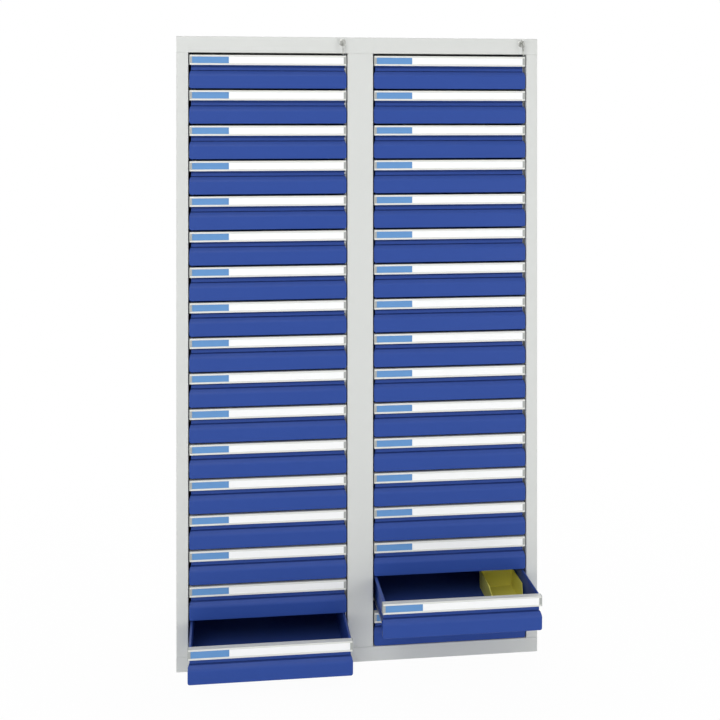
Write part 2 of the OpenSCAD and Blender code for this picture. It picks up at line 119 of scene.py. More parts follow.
# %% Floor
FLOOR_SIZE, FLOOR_DROP, FLOOR_PALE = 60, 0.5 * MM, 0.95
NEAR_WHITE, NEAR_REACH, FAR_REACH = 0.97, 0.7, 2.0
bpy.ops.mesh.primitive_plane_add(size=FLOOR_SIZE, location=(0, 0, -FLOOR_DROP))
floor = bpy.context.object
floor.name = "floor"
white = bpy.data.materials.new("white_floor")
white.use_nodes = True
tree = white.node_tree
matt = tree.nodes["Principled BSDF"]
matt.inputs["Base Color"].default_value = (FLOOR_PALE, FLOOR_PALE, FLOOR_PALE, 1)
matt.inputs["Roughness"].default_value = 0.9
glow = add(tree, "Emission", {"Color": (1, 1, 1, 1), "Strength": 1.0})
reach = add(tree, "VectorMath", {0: add(tree, "TexCoord").outputs["Object"]}, operation="LENGTH")
spread = add(tree, "MapRange", {"Value": reach.outputs["Value"], "From Min": NEAR_REACH,
                                "From Max": FAR_REACH, "To Min": NEAR_WHITE, "To Max": 1.0})
share = maths(tree, "MULTIPLY", seen_directly(tree), spread.outputs[0])
mix = add(tree, "MixShader", {0: share, 1: matt.outputs[0], 2: glow.outputs[0]})
tree.links.new(mix.outputs[0], tree.nodes["Material Output"].inputs["Surface"])
floor.data.materials.append(white)
print("floor:", FLOOR_SIZE, "m square")

# %% Lamps
def softbox(name, place, aim, size, power):
    """A large square lamp that points from its place at its aim."""
    way = Vector(aim) - Vector(place)
    turn = way.to_track_quat("-Z", "Y").to_euler()
    bpy.ops.object.light_add(type="AREA", location=place, rotation=turn)
    lamp = bpy.context.object
    lamp.name = name
    lamp.data.size = size
    lamp.data.energy = power
    print(name, "at", round(way.length, 1), "m")


softbox("key_lamp", place=(-1.3, -4.1, 4.0), aim=(0, 0, 0.9), size=2.8, power=80)
softbox("fill_lamp", place=(2.7, -4.2, 0.8), aim=(0, 0, 0.4), size=1.8, power=41)
softbox("low_lamp", place=(-2.3, -4.6, 0.7), aim=(0, 0, 0.3), size=1.8, power=37)
softbox("rear_lamp", place=(0.6, 3.6, 3.0), aim=(0, 0, 0.9), size=2.6, power=90)

# %% [markdown]
# ## Finishes
# Two effects turn up in more than one finish, so each is a node group that is built once and set
# differently in each material: the cloudy colour and fine orange peel of powder coat, and the
# straight lines that drawing leaves on metal. A third lays a trace of dust on what faces up. The
# groups only work out colours, values and heights. Each material keeps its own shader, where
# numbers that are the same all over are set straight on the sockets.

# %% Group helper and colours
def start_group(name, inputs, outputs):
    """A new shader group with its sockets; gives the tree, the sockets inside and the results."""
    group = bpy.data.node_groups.new(name, "ShaderNodeTree")
    for title, kind, value in inputs:
        socket = group.interface.new_socket(title, in_out="INPUT", socket_type="NodeSocket" + kind)
        if value is not None:
            socket.default_value = value
    for title, kind in outputs:
        group.interface.new_socket(title, in_out="OUTPUT", socket_type="NodeSocket" + kind)
    inside = group.nodes.new("NodeGroupInput").outputs
    return group, inside, group.nodes.new("NodeGroupOutput").inputs


def shade(red, green, blue):
    """A colour picked on a screen, 0 to 255, as the linear values that shaders use."""
    return tuple(((part / 255 + 0.055) / 1.055) ** 2.4 for part in (red, green, blue)) + (1,)


def about_one(tree, value, swing):
    """Turns a noise value around one half into a factor around one; swing is how far it strays."""
    centred = maths(tree, "SUBTRACT", value, 0.5)
    return maths(tree, "MULTIPLY_ADD", centred, swing, 1.0)


# %% Powder coat
RUB_SWING = 0.35
powder, given, result = start_group(
    "powder_coat",
    [("Vector", "Vector", None), ("Colour", "Color", None), ("Mottle", "Float", 0.06),
     ("Roughness", "Float", 0.45), ("Peel scale", "Float", 520.0)],
    [("Colour", "Color"), ("Roughness", "Float"), ("Height", "Float")])
cloud = add(powder, "TexNoise", {"Vector": given["Vector"], "Scale": 5.0, "Detail": 4.0})
tint = about_one(powder, cloud.outputs[0], given["Mottle"])
tinted = add(powder, "VectorMath", {0: given["Colour"], "Scale": tint}, operation="SCALE")
peel = add(powder, "TexNoise", {"Vector": given["Vector"], "Scale": given["Peel scale"],
                                "Detail": 2.0})
rub = add(powder, "TexNoise", {"Vector": given["Vector"], "Scale": 22.0, "Detail": 3.0})
rubbed = maths(powder, "MULTIPLY", about_one(powder, rub.outputs[0], RUB_SWING),
               given["Roughness"])
powder.links.new(tinted.outputs[0], result["Colour"])
powder.links.new(rubbed, result["Roughness"])
powder.links.new(peel.outputs[0], result["Height"])

# %% Drawn lines
drawn, given, result = start_group(
    "drawn_lines",
    [("Vector", "Vector", None), ("Colour", "Color", None), ("Stretch", "Vector", (6, 700, 700)),
     ("Strength", "Float", 0.1)],
    [("Colour", "Color"), ("Height", "Float")])
stretched = add(drawn, "VectorMath", {0: given["Vector"], 1: given["Stretch"]},
                operation="MULTIPLY")
lines = add(drawn, "TexNoise", {"Vector": stretched.outputs[0], "Scale": 1.0, "Detail": 3.0})
tone = about_one(drawn, lines.outputs[0], given["Strength"])
toned = add(drawn, "VectorMath", {0: given["Colour"], "Scale": tone}, operation="SCALE")
drawn.links.new(toned.outputs[0], result["Colour"])
drawn.links.new(lines.outputs[0], result["Height"])

# %% Dust
DUST_COLOUR = shade(190, 186, 176)
MIX_A, MIX_B, MIX_COLOUR = 6, 7, 2      # the colour sockets of a Mix node, two in and one out
dust, given, result = start_group(
    "dust",
    [("Vector", "Vector", None), ("Colour", "Color", None), ("Amount", "Float", 0.2)],
    [("Colour", "Color")])
upward = add(dust, "SeparateXYZ", {0: add(dust, "NewGeometry").outputs["True Normal"]}).outputs["Z"]
lying = maths(dust, "MULTIPLY", maths(dust, "MAXIMUM", upward, 0.0), given["Amount"])
patch = add(dust, "TexNoise", {"Vector": given["Vector"], "Scale": 14.0, "Detail": 5.0}).outputs[0]
mask = maths(dust, "MULTIPLY", lying, patch)
dusty = add(dust, "Mix", {0: mask, MIX_A: given["Colour"], MIX_B: DUST_COLOUR}, data_type="RGBA")
dust.links.new(dusty.outputs[MIX_COLOUR], result["Colour"])
print("groups:", [group.name for group in (powder, drawn, dust)])

# %% [markdown]
# ### The materials
# Every material starts the same way: a Principled shader and the piece's own object coordinates, so
# that a pattern keeps its real size on every piece and stays put when a drawer slides.

# %% Material helpers
FINISH = {}


def start_material(slot, colour, roughness, metallic=0.0):
    """A material for one of the record's slots; gives its tree, its shader and its coordinates."""
    material = bpy.data.materials.new(slot)
    material.use_nodes = True
    tree = material.node_tree
    shader = tree.nodes["Principled BSDF"]
    shader.inputs["Base Color"].default_value = colour
    shader.inputs["Roughness"].default_value = roughness
    shader.inputs["Metallic"].default_value = metallic
    material.diffuse_color = colour
    FINISH[slot] = material
    return tree, shader, add(tree, "TexCoord").outputs["Object"]


def place_group(tree, group, inputs):
    """A group node of the given tree with its inputs set or linked; gives its outputs."""
    return add(tree, "Group", inputs, node_tree=group).outputs


def bump(tree, shader, height, strength, depth):
    """Feeds a height to the shader's normal; depth is in metres."""
    relief = add(tree, "Bump", {"Height": height, "Strength": strength, "Distance": depth})
    tree.links.new(relief.outputs[0], shader.inputs["Normal"])


# %% [markdown]
# The cabinet and the drawers are powder coated. From far away one flat colour would do, but close
# up the coat is a little cloudy and finely dimpled, and dust lies on its level faces. So both
# colours go through the first and the third group. The deep blue mirrors less than the pale grey.

# %% Painted sheet
def painted(slot, colour, roughness, mottle, dusting, mirror):
    """A powder coat: mottle is the swing of its colour, and mirror its specular level."""
    tree, shader, spot = start_material(slot, colour, roughness)
    shader.inputs["Specular IOR Level"].default_value = mirror
    coat = place_group(tree, powder, {"Vector": spot, "Colour": colour, "Mottle": mottle,
                                      "Roughness": roughness})
    top = place_group(tree, dust, {"Vector": spot, "Colour": coat["Colour"], "Amount": dusting})
    tree.links.new(top["Colour"], shader.inputs["Base Color"])
    tree.links.new(coat["Roughness"], shader.inputs["Roughness"])
    bump(tree, shader, coat["Height"], strength=0.25, depth=0.05 * MM)
    print(slot, "painted")


painted("cabinet_paint", shade(214, 216, 213), roughness=0.45, mottle=0.04, dusting=0.12,
        mirror=0.4)
painted("drawer_paint", shade(47, 76, 153), roughness=0.42, mottle=0.06, dusting=0.05,
        mirror=0.15)

# %% [markdown]
# Three finishes keep the lines of their making. The label rail is lacquered over them, so it shines
# as paint does and is set as no metal at all. The runners are zinc plated and the locks nickel
# plated: they are full metal, and a stain pattern makes their gloss uneven.

# %% Satin rail, plated steel and nickel
STAIN_SWING = 0.5


def metal(slot, colour, roughness, metallic, stretch, strength):
    """Drawn lines in a finish; the stretch is lines per metre along X, Y and Z."""
    tree, shader, spot = start_material(slot, colour, roughness, metallic)
    lines = place_group(tree, drawn, {"Vector": spot, "Colour": colour, "Stretch": stretch,
                                      "Strength": strength})
    tree.links.new(lines["Colour"], shader.inputs["Base Color"])
    stain = add(tree, "TexNoise", {"Vector": spot, "Scale": 60.0, "Detail": 4.0}).outputs[0]
    worn = maths(tree, "MULTIPLY", about_one(tree, stain, STAIN_SWING), roughness)
    tree.links.new(worn, shader.inputs["Roughness"])
    bump(tree, shader, lines["Height"], strength=0.2, depth=0.03 * MM)
    print(slot, "finished")


metal("rail_aluminium", shade(226, 227, 222), roughness=0.38, metallic=0.0,
      stretch=(4, 600, 600), strength=0.06)
metal("zinc_steel", shade(206, 210, 214), roughness=0.32, metallic=1.0,
      stretch=(500, 9, 500), strength=0.30)
metal("nickel_steel", shade(172, 173, 169), roughness=0.30, metallic=1.0,
      stretch=(120, 120, 120), strength=0.10)

# %% [markdown]
# The end caps, the rollers and the loose bin are moulded. A mould leaves its own fine grain on the
# plastic. The grain feeds the gloss and the bump together, because they come from the same dimples.

# %% Moulded plastics
GRAIN_SWING = 0.3


def moulded(slot, colour, roughness, grain_scale, mottle):
    """A moulded plastic: a fine spark-eroded grain and a slight cloudiness."""
    tree, shader, spot = start_material(slot, colour, roughness)
    cloud = add(tree, "TexNoise", {"Vector": spot, "Scale": 30.0, "Detail": 3.0}).outputs[0]
    clouded = add(tree, "VectorMath", {0: colour[:3], "Scale": about_one(tree, cloud, mottle)},
                  operation="SCALE")
    tree.links.new(clouded.outputs[0], shader.inputs["Base Color"])
    grain = add(tree, "TexNoise", {"Vector": spot, "Scale": grain_scale, "Detail": 2.0}).outputs[0]
    grained = maths(tree, "MULTIPLY", about_one(tree, grain, GRAIN_SWING), roughness)
    tree.links.new(grained, shader.inputs["Roughness"])
    bump(tree, shader, grain, strength=0.3, depth=0.04 * MM)
    print(slot, "moulded")


moulded("cap_plastic", shade(170, 173, 170), roughness=0.5, grain_scale=900.0, mottle=0.10)
moulded("roller_nylon", shade(228, 226, 216), roughness=0.42, grain_scale=700.0, mottle=0.06)
moulded("bin_plastic", shade(240, 233, 112), roughness=0.38, grain_scale=500.0, mottle=0.06)

# %% [markdown]
# The cards lie behind a clear strip. The strip could be a glassy sheet of its own, but it touches
# the card all over, so a thin coat in the card's own shader gives the same gloss for less.

# %% Cards behind a clear strip
def card(slot, colour, fibre):
    """Printed card under a clear strip: paper fibres below and a smooth coat above."""
    tree, shader, spot = start_material(slot, colour, roughness=0.6)
    fibres = add(tree, "TexNoise", {"Vector": spot, "Scale": 1400.0, "Detail": 4.0}).outputs[0]
    inked = add(tree, "VectorMath", {0: colour[:3], "Scale": about_one(tree, fibres, fibre)},
                operation="SCALE")
    tree.links.new(inked.outputs[0], shader.inputs["Base Color"])
    shader.inputs["Coat Weight"].default_value = 0.15
    shader.inputs["Coat Roughness"].default_value = 0.15
    bump(tree, shader, fibres, strength=0.15, depth=0.02 * MM)
    print(slot, "printed")


card("label_card", shade(250, 251, 251), fibre=0.04)
card("index_card", shade(93, 145, 201), fibre=0.08)

# %% [markdown]
# ## Working in edit mode
# Pieces are modelled as by hand: a primitive at its size and place, then extrude, bevel, cut and
# move in edit mode. An operator acts on what is selected, so the helpers below select corners,
# edges or faces by where they are. A test is a small function that says yes or no to one of them.

# %% Selecting by place
NEAR = 0.02 * MM
LEAST_FOLD = math.radians(20)
STRAIGHT = 0.99
AXIS = {"x": 0, "y": 1, "z": 2}


def corners(part):
    """The places of the corners of a vertex, an edge or a face."""
    if isinstance(part, bmesh.types.BMVert):
        return [part.co]
    return [corner.co for corner in part.verts]


def on(axis, value):
    """A test for parts that lie flat at a value on an axis."""
    return lambda part: all(abs(spot[AXIS[axis]] - value) < NEAR for spot in corners(part))


def between(axis, low, high):
    """A test for parts that lie within two values on an axis."""
    return lambda part: all(low - NEAR < spot[AXIS[axis]] < high + NEAR for spot in corners(part))


def folded(part):
    """A test for edges where two faces meet at an angle."""
    return len(part.link_faces) == 2 and part.calc_face_angle(0) > LEAST_FOLD


def along(axis):
    """A test for edges that run along an axis."""
    def runs(edge):
        way = (edge.verts[1].co - edge.verts[0].co).normalized()
        return way[AXIS[axis]] ** 2 > STRAIGHT
    return runs


def pick(kind, *tests):
    """Selects the VERT, EDGE or FACE parts that pass every test."""
    bpy.ops.mesh.select_mode(type=kind)
    bpy.ops.mesh.select_all(action="DESELECT")
    mesh = bpy.context.edit_object.data
    form = bmesh.from_edit_mesh(mesh)
    for part in {"VERT": form.verts, "EDGE": form.edges, "FACE": form.faces}[kind]:
        if all(test(part) for test in tests):
            part.select = True
    form.select_flush_mode()
    bmesh.update_edit_mesh(mesh)


# %% Starting a form
def begin(name):
    """Names the primitive that was just added and opens it in edit mode."""
    piece = bpy.context.object
    piece.name = name
    bpy.ops.object.transform_apply()
    bpy.ops.object.mode_set(mode="EDIT")
    return piece


def start_box(name, low, high):
    """A cube primitive that fills two corners, open in edit mode."""
    bpy.ops.object.select_all(action="DESELECT")
    low, high = Vector(low), Vector(high)
    bpy.ops.mesh.primitive_cube_add(size=1, location=(low + high) / 2, scale=high - low)
    return begin(name)


def start_line(name, *places, closed=False):
    """A corner that is extruded from place to place; a closed line is filled with a face."""
    bpy.ops.object.select_all(action="DESELECT")
    places = [Vector(place) for place in places]
    bpy.ops.mesh.primitive_plane_add(size=MM, location=places[0])
    piece = begin(name)
    bpy.ops.mesh.select_mode(type="VERT")
    bpy.ops.mesh.select_all(action="SELECT")
    bpy.ops.mesh.merge(type="CENTER")
    for here, there in zip(places, places[1:]):
        bpy.ops.mesh.extrude_vertices_move(TRANSFORM_OT_translate={"value": there - here})
    bpy.ops.mesh.select_all(action="SELECT")
    if closed:
        bpy.ops.mesh.edge_face_add()
    return piece


# %% Shaping a form
SAME_SPOT = 0.001 * MM


def pull(x, y, z):
    """Extrudes what is selected."""
    bpy.ops.mesh.extrude_region_move(TRANSFORM_OT_translate={"value": (x, y, z)})


def move(x, y, z):
    """Moves what is selected."""
    bpy.ops.transform.translate(value=(x, y, z))


def bend(radius, segments=3):
    """Rounds the selected edges, as a folded sheet is round at its bends."""
    bpy.ops.mesh.bevel(offset=radius, segments=segments, affect="EDGES")


def cut(axis, value):
    """Cuts the whole form across an axis."""
    bpy.ops.mesh.select_all(action="SELECT")
    way = Vector(float(letter == axis) for letter in "xyz")
    bpy.ops.mesh.bisect(plane_co=way * value, plane_no=way)


def face_out(way, *tests):
    """Makes the faces agree, and turns them all over if the tested one looks the wrong way."""
    bpy.ops.mesh.select_all(action="SELECT")
    bpy.ops.mesh.normals_make_consistent(inside=False)
    form = bmesh.from_edit_mesh(bpy.context.edit_object.data)
    shown = next(face for face in form.faces if all(test(face) for test in tests))
    if shown.normal.dot(Vector(way)) < 0:
        bpy.ops.mesh.flip_normals()


def turn(centre, axis, steps):
    """Spins the selected line once round an axis, and closes the seam and the poles."""
    bpy.ops.mesh.spin(steps=steps, angle=math.tau, center=centre, axis=axis)
    bpy.ops.mesh.select_all(action="SELECT")
    bpy.ops.mesh.remove_doubles(threshold=SAME_SPOT)
    bpy.ops.mesh.normals_make_consistent(inside=False)


# %% Finishing a form
SOFT_ANGLE, SMOOTH_ANGLE = math.radians(30), math.radians(35)


def apply(piece, kind, **settings):
    """Adds a modifier and applies it."""
    modifier = piece.modifiers.new(kind.title(), kind)
    for name, value in settings.items():
        setattr(modifier, name, value)
    bpy.ops.object.modifier_apply(modifier=modifier.name)


def close_form(piece, sheet=0.0, soften=0.0, segments=2, both_sides=False):
    """Back to object mode: sheet thickness, soft edges, the mirrored half and smooth shading."""
    bpy.ops.object.mode_set(mode="OBJECT")
    if sheet:
        apply(piece, "SOLIDIFY", thickness=sheet, offset=-1, use_even_offset=True)
    if soften:
        apply(piece, "BEVEL", width=soften, segments=segments, limit_method="ANGLE",
              angle_limit=SOFT_ANGLE)
    if both_sides:
        apply(piece, "MIRROR", use_mirror_merge=False)
    bpy.ops.object.shade_smooth_by_angle(angle=SMOOTH_ANGLE)
    apply(piece, "WEIGHTED_NORMAL", keep_sharp=True)
    return piece


def join(name, pieces):
    """Joins pieces into the first one."""
    bpy.ops.object.select_all(action="DESELECT")
    for piece in pieces:
        piece.select_set(True)
    bpy.context.view_layer.objects.active = pieces[0]
    bpy.ops.object.join()
    pieces[0].name = name
    return pieces[0]


def dress(piece, slot, body, *nodes):
    """Gives a finished piece its material, its body and the nodes that it stands for."""
    piece.data.materials.clear()
    piece.data.materials.append(FINISH[slot])
    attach(piece, body)
    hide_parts(*nodes)
    return piece


def copy_to(pattern, name, place):
    """A copy of a pattern with its own mesh, which carries its place."""
    piece = pattern.copy()
    piece.data = pattern.data.copy()
    piece.name = name
    piece.data.transform(Matrix.Translation(place))
    bpy.context.collection.objects.link(piece)
    return piece


# %% [markdown]
# ## Cabinet
# The cabinet is folded from thin sheet. A fold is never sharp: it has a small radius that catches
# the light as a fine pale line along every opening. So each panel is drawn as one line in plan or
# in side view, extruded to its length, bent at its folds and only then given its thickness, with
# the Solidify modifier, towards the inside.

# %% Cabinet sizes from the frame
top_low, top_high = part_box("top_panel")
FRONT, BACK, TOP, HEADER = top_low.y, top_high.y, top_high.z, top_low.z
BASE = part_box("base_panel")[1].z
SIDE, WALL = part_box("side_panel_right")[1].x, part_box("side_panel_right")[0].x
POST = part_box("centre_partition")[1].x
SHEET = 1.2 * MM
FOLD = 2.2 * MM
SEAM = 0.3 * MM
FOOT = 30 * MM
WALL_END = BACK - SHEET - SEAM
COLUMN = (WALL + POST) / 2
OPENING = WALL - POST
print("opening", round(OPENING / MM), "mm, column middles at", round(COLUMN / MM), "mm")

# %% Side panels
def side_panel(name, side):
    """Inner wall, stile and outer skin in one fold; the skin runs on below and above the stile."""
    panel = start_line(name, (side * WALL, WALL_END, BASE), (side * WALL, FRONT, BASE),
                       (side * SIDE, FRONT, BASE), (side * SIDE, BACK, BASE))
    pull(0, 0, HEADER - SEAM - BASE)
    pick("EDGE", folded, along("z"))
    bend(FOLD)
    face_out((0, -1, 0), on("y", FRONT))
    for level, length in ((HEADER - SEAM, TOP - SHEET - HEADER), (BASE, -BASE)):
        pick("EDGE", on("z", level), on("x", side * SIDE), along("y"))
        pull(0, 0, length)
    pick("EDGE", on("z", HEADER - SEAM), on("x", side * WALL), along("y"))
    pull(0, 0, TOP - SHEET - HEADER)
    return close_form(panel, sheet=SHEET)


for side, hand in ((-1, "left"), (1, "right")):
    node = "side_panel_" + hand
    panel = dress(side_panel(hand + "_side", side), "cabinet_paint", "cabinet", node)
    print(panel.name, len(panel.data.polygons), "faces")

# %% [markdown]
# The post between the banks is the front of a channel, and the channel's sides are the inner walls
# that the middle runners hang on. It could be three sheets, but a line of three legs, folded twice,
# is how it is really made, and it leaves no seam beside the post.

# %% Centre post and its walls
plan = [(-POST, WALL_END), (-POST, FRONT), (POST, FRONT), (POST, WALL_END)]
post = start_line("centre_post", *[(x, y, BASE + SEAM) for x, y in plan])
pull(0, 0, HEADER - BASE - 2 * SEAM)
pick("EDGE", folded, along("z"))
bend(FOLD)
face_out((0, -1, 0), on("y", FRONT))
close_form(post, sheet=SHEET)
dress(post, "cabinet_paint", "cabinet", "centre_partition")
print("centre post", round(2 * POST / MM), "mm wide")

# %% [markdown]
# The top is one sheet. It folds down in front as the header, and over each opening a return goes
# back from the header's lower edge. The locks pass through two round holes, which a Boolean
# modifier cuts. A hole could also be left out, because a rim covers it, but then the piece would
# be wrong when it is taken apart.

# %% Top sheet and header
RETURN = 15 * MM
top = start_line("top_sheet", (-SIDE, BACK, TOP), (-SIDE, FRONT, TOP), (-SIDE, FRONT, HEADER))
pull(2 * SIDE, 0, 0)
for x in (-WALL, -POST, POST, WALL):
    cut("x", x)
for low, high in ((-WALL, -POST), (POST, WALL)):
    pick("EDGE", on("z", HEADER), between("x", low, high))
    pull(0, RETURN, 0)
pick("EDGE", folded, along("x"))
bend(FOLD)
face_out((0, -1, 0), on("y", FRONT))
close_form(top, sheet=SHEET)
lock_low, lock_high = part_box("lock_housings")
lock_z = (lock_low.z + lock_high.z) / 2
RIM = (lock_high.z - lock_low.z) / 2
LOCKS = [Vector((x, FRONT, lock_z)) for x in (lock_low.x + RIM, lock_high.x - RIM)]
LOCK_R, LOCK_LEN = 8 * MM, 20 * MM
for place in LOCKS:
    bpy.ops.object.select_all(action="DESELECT")
    bpy.ops.mesh.primitive_cylinder_add(vertices=32, radius=LOCK_R, depth=LOCK_LEN, location=place,
                                        rotation=(math.pi / 2, 0, 0))
    drill = bpy.context.object
    bpy.context.view_layer.objects.active = top
    apply(top, "BOOLEAN", operation="DIFFERENCE", object=drill)
    bpy.data.objects.remove(drill)
dress(top, "cabinet_paint", "cabinet", "top_panel")
print("top sheet", len(top.data.polygons), "faces")

# %% [markdown]
# The base sheet folds down in front and behind and turns in along the floor, so the cabinet stands
# on two rails. A channel under the post runs from one rail to the other and carries the middle.
# Both are drawn as lines and pulled, and then joined into one piece.

# %% Base
profile = [(FRONT + FOOT, 0), (FRONT, 0), (FRONT, BASE - SEAM), (BACK - SHEET, BASE - SEAM),
           (BACK - SHEET, 0), (BACK - FOOT, 0)]
base = start_line("base_sheet", *[(-SIDE + SHEET, y, z) for y, z in profile])
pull(2 * (SIDE - SHEET), 0, 0)
pick("EDGE", folded, along("x"))
bend(FOLD)
face_out((0, 0, 1), on("z", BASE - SEAM))
base = close_form(base, sheet=SHEET)
beam_low, beam_high = SHEET / 4, BASE - 2 * SHEET
profile = [(-POST, beam_high), (-POST, beam_low), (POST, beam_low), (POST, beam_high)]
beam = start_line("middle_rail", *[(x, FRONT + FOOT, z) for x, z in profile])
pull(0, BACK - FRONT - 2 * FOOT, 0)
pick("EDGE", folded, along("y"))
bend(FOLD)
face_out((0, 0, -1), on("z", beam_low))
beam = close_form(beam, sheet=SHEET)
dress(join("base_sheet", [base, beam]), "cabinet_paint", "cabinet", "base_panel")
print("base", round(BASE / MM), "mm high")

# %% [markdown]
# The back is a flat sheet between the side panels. So large a sheet would rattle if it stayed quite
# flat, so its middle is pressed in: one inset draws the border and one the step, and then the
# middle moves forward.

# %% Back
BORDER, STEP, PRESSED = 12 * MM, 2 * MM, 0.5 * MM
back = start_box("back_sheet", (-SIDE + 2 * SHEET, BACK - SHEET, BASE + SEAM),
                 (SIDE - 2 * SHEET, BACK, TOP - SHEET))
pick("FACE", on("y", BACK))
bpy.ops.mesh.inset(thickness=BORDER)
bpy.ops.mesh.inset(thickness=STEP)
move(0, -PRESSED, 0)
close_form(back)
dress(back, "cabinet_paint", "cabinet", "back_panel")
print("back", round((TOP - BASE) / MM), "mm high")

# %% [markdown]
# ## Runners
# Each drawer hangs between two folded channels. A nylon roller at the front of each channel carries
# the drawer, and a roller at the back of the drawer runs inside the channel. One row is modelled at
# the middle of a column, with a Mirror modifier for the other side, and then copied to every row.

# %% Places of the rows and columns
ROWS = 17
FRONT_LIFT = 1 * MM
HALF = OPENING / 2
DRAWERS = {name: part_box(name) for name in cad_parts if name.startswith("drawer_")}
PITCH = (DRAWERS["drawer_left_01"][0].z - DRAWERS["drawer_left_17"][0].z) / (ROWS - 1)
FIRST_ROW = DRAWERS["drawer_left_17"][0].z - FRONT_LIFT
ROW_PLACES = [Vector((column, FRONT, FIRST_ROW + row * PITCH))
              for column in (-COLUMN, COLUMN) for row in range(ROWS)]
print("pitch", round(PITCH / MM, 1), "mm, first row at", round(FIRST_ROW / MM, 1), "mm")


def everywhere(pattern, name, places):
    """Copies a pattern to several places and joins the copies into one piece."""
    copies = [copy_to(pattern, name, place) for place in places]
    bpy.data.objects.remove(pattern)
    return join(name, copies)


# %% Channels
CHANNEL_W, CHANNEL_LOW, CHANNEL_HIGH = 9.5 * MM, 6 * MM, 26 * MM
WEB_Y, FLANGE_Y, CHANNEL_END = 42 * MM, 62 * MM, 480 * MM
RUNNER_SHEET, RUNNER_BEND = 1.2 * MM, 1.4 * MM
section = [(-HALF + CHANNEL_W, CHANNEL_LOW), (-HALF, CHANNEL_LOW), (-HALF, CHANNEL_HIGH),
           (-HALF + CHANNEL_W, CHANNEL_HIGH)]
channel = start_line("channel", *[(x, FLANGE_Y, z) for x, z in section])
pull(0, CHANNEL_END - FLANGE_Y, 0)
pick("EDGE", folded)
bend(RUNNER_BEND, segments=2)
pick("EDGE", on("x", -HALF), on("y", FLANGE_Y))
pull(0, WEB_Y - FLANGE_Y, 0)
face_out((-1, 0, 0), on("x", -HALF))
close_form(channel, sheet=RUNNER_SHEET, both_sides=True)
halves = {"left": ROW_PLACES[:ROWS], "right": ROW_PLACES[ROWS:]}
for hand, places in halves.items():
    pattern = copy_to(channel, "channel", Vector())
    piece = everywhere(pattern, "channels_" + hand, places)
    dress(piece, "zinc_steel", "cabinet", "runners_" + hand)
    print(piece.name, len(piece.data.polygons), "faces")
bpy.data.objects.remove(channel)

# %% [markdown]
# A roller and the rivet that it turns on are round, so half the section of each is drawn and spun
# round the axle. There are 68 of both, mostly out of sight, so a spin has few steps.

# %% Front rollers and their rivets
ROLLER_X, ROLLER_W, AXLE_R, BORE = -HALF + 3 * MM, 6 * MM, 2.5 * MM, 2.6 * MM
ROLLER_CHAMFER, ROLLER_PLAY = 0.8 * MM, 0.2 * MM
FRONT_ROLLER = Vector((ROLLER_X, 52 * MM, 18.6 * MM))
FRONT_ROLLER_R = 8 * MM
HEAD_T, HEAD_R, DOME_R, DOME_TOP_R = 1 * MM, 4 * MM, 3.4 * MM, 1.8 * MM
SPIN_STEPS = 20


def roller(name, centre, radius):
    """A wheel with chamfered rims: half its section, spun round its axle."""
    rim = ROLLER_CHAMFER
    section = [(0, BORE), (0, radius - rim), (rim, radius), (ROLLER_W - rim, radius),
               (ROLLER_W, radius - rim), (ROLLER_W, BORE), (0, BORE)]
    wheel = start_line(name, *[centre + Vector((x, 0, r)) for x, r in section])
    turn(centre, (1, 0, 0), SPIN_STEPS)
    return close_form(wheel, both_sides=True)


wheels = everywhere(roller("wheel", FRONT_ROLLER, FRONT_ROLLER_R), "front_wheels", ROW_PLACES)
dress(wheels, "roller_nylon", "cabinet", "front_rollers")
pin = ROLLER_X + ROLLER_W + ROLLER_PLAY
section = [(-HALF + RUNNER_SHEET, 0), (-HALF + RUNNER_SHEET, AXLE_R), (pin, AXLE_R), (pin, HEAD_R),
           (pin + 0.6 * HEAD_T, DOME_R), (pin + HEAD_T, DOME_TOP_R), (pin + HEAD_T, 0)]
rivet = start_line("rivet", *[Vector((x, FRONT_ROLLER.y, FRONT_ROLLER.z + r)) for x, r in section])
turn(FRONT_ROLLER, (1, 0, 0), SPIN_STEPS)
rivets = everywhere(close_form(rivet, both_sides=True), "front_rivets", ROW_PLACES)
dress(rivets, "zinc_steel", "cabinet", "roller_axles")
print("rollers", len(wheels.data.polygons), "faces, rivets", len(rivets.data.polygons))

# %% [markdown]
# ## Drawer front
# Under the rail, the flat face of a drawer bends back into a slope for the fingers. The front
# could be drawn as a line too, but its lower corners are round and its slope is narrower than its
# face, so it starts as a block. The lower corners are rounded and the back upper edge is raised. A
# cut across the slope is lifted, because the pressed slope swells a little, and the ends are drawn
# in, which leaves a dark notch at each end of the grip. Then the back face goes, the edges are
# bent, and Solidify gives the sheet. The two helpers shape the plate behind it as well.

# %% Drawer sizes
drawer_low, drawer_high = DRAWERS["drawer_left_01"]
FRONT_HALF = (drawer_high.x - drawer_low.x) / 2
RAIL_TOP = drawer_high.z - drawer_low.z + FRONT_LIFT
RAIL_HEIGHT, GRIP = 28.5 * MM, 18 * MM
RAIL_Z = RAIL_TOP - RAIL_HEIGHT
FACE_TOP, SLOPE_TOP, SLOPE_SHORT = 40 * MM, 53 * MM, 1.5 * MM
SLOPE_END = SLOPE_TOP - SLOPE_SHORT
SWELL_Y, SWELL = 8 * MM, 4.5 * MM
END_CUT, SWELL_CUT = 5 * MM, 0.6
GRIP_BEND, EDGE_BEND, CORNER = 5 * MM, 1.6 * MM, 6 * MM
GROOVE = 1.6 * MM
FRONT_SHEET = 1 * MM
GAP = 0.1 * MM
print("drawer front", round(2 * FRONT_HALF / MM), "x", round(RAIL_TOP / MM), "mm")


def round_corners():
    """Rounds the two lower corners of a front."""
    pick("EDGE", on("z", FRONT_LIFT), along("y"))
    bend(CORNER, segments=5)


def draw_in(level, amount):
    """Draws the ends in at one level above the flat face."""
    for side in (-1, 1):
        pick("VERT", on("z", level), on("x", side * FRONT_HALF))
        move(-side * amount, 0, 0)


